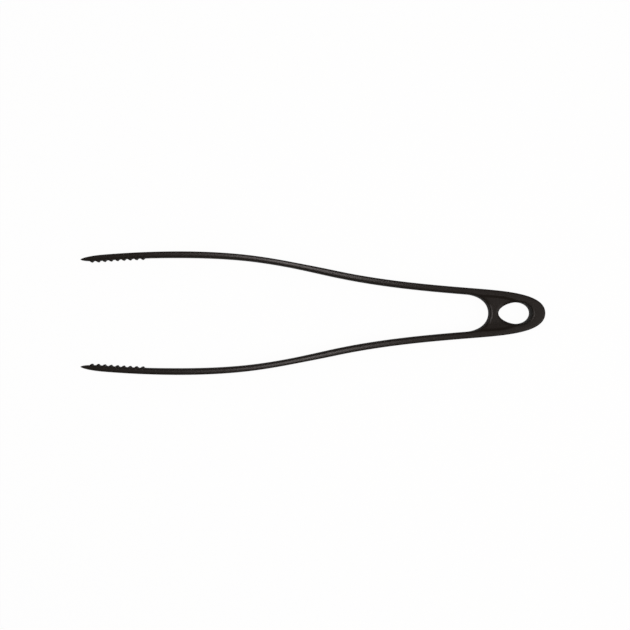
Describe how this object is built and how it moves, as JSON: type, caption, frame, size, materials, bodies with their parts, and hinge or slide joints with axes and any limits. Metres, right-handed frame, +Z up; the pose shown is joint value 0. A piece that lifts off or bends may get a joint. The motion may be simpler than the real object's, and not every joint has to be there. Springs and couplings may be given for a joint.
{
  "type": "aquascaping tweezers",
  "caption": "Long moulded plastic planting tweezers: bowed spring arms with toothed jaws, joined by a rimmed head with an egg-shaped hanging eye.",
  "frame": {"origin": "middle of the tweezers' length and width, on the surface that they lie on", "axes": "+X towards the head with the hanging eye, -X towards the tips; +Y towards the upper arm; +Z up out of the surface, along the moulding's depth"},
  "size_m": [0.3, 0.08, 0.01],
  "materials": {
    "black_plastic": "satin moulded"
  },
  "bodies": {
    "head": {"head": "black_plastic"},
    "upper_leaf": {"upper_leaf": "black_plastic"},
    "upper_grip": {"upper_grip": "black_plastic"},
    "upper_forearm": {"upper_forearm": "black_plastic"},
    "lower_leaf": {"lower_leaf": "black_plastic"},
    "lower_grip": {"lower_grip": "black_plastic"},
    "lower_forearm": {"lower_forearm": "black_plastic"}
  },
  "joints": [
    {"name": "upper_root_bend", "type": "hinge", "parent": "head", "child": "upper_leaf", "pos_m": [0.0847, 0.01555, 0.005], "axis": [0, 0, 1], "range_deg": [0, 6.39], "stiffness_Nm_per_rad": 4.7},
    {"name": "upper_grip_bend", "type": "hinge", "parent": "upper_leaf", "child": "upper_grip", "pos_m": [0.0507, 0.01923, 0.005], "axis": [0, 0, 1], "range_deg": [0, 2.2]},
    {"name": "upper_forearm_bend", "type": "hinge", "parent": "upper_grip", "child": "upper_forearm", "pos_m": [0.0017, 0.02813, 0.005], "axis": [0, 0, 1], "range_deg": [-8, 0], "stiffness_Nm_per_rad": 1.25},
    {"name": "lower_root_bend", "type": "hinge", "parent": "head", "child": "lower_leaf", "pos_m": [0.0847, -0.01555, 0.005], "axis": [0, 0, -1], "range_deg": [0, 6.39], "stiffness_Nm_per_rad": 4.7},
    {"name": "lower_grip_bend", "type": "hinge", "parent": "lower_leaf", "child": "lower_grip", "pos_m": [0.0507, -0.01923, 0.005], "axis": [0, 0, -1], "range_deg": [0, 2.2]},
    {"name": "lower_forearm_bend", "type": "hinge", "parent": "lower_grip", "child": "lower_forearm", "pos_m": [0.0017, -0.02813, 0.005], "axis": [0, 0, -1], "range_deg": [-8, 0], "stiffness_Nm_per_rad": 1.25}
  ],
  "couplings": [
    {"joint": "upper_grip_bend", "follows": "upper_root_bend", "ratio": 0.33333},
    {"joint": "lower_grip_bend", "follows": "lower_root_bend", "ratio": 0.33333}
  ]
}
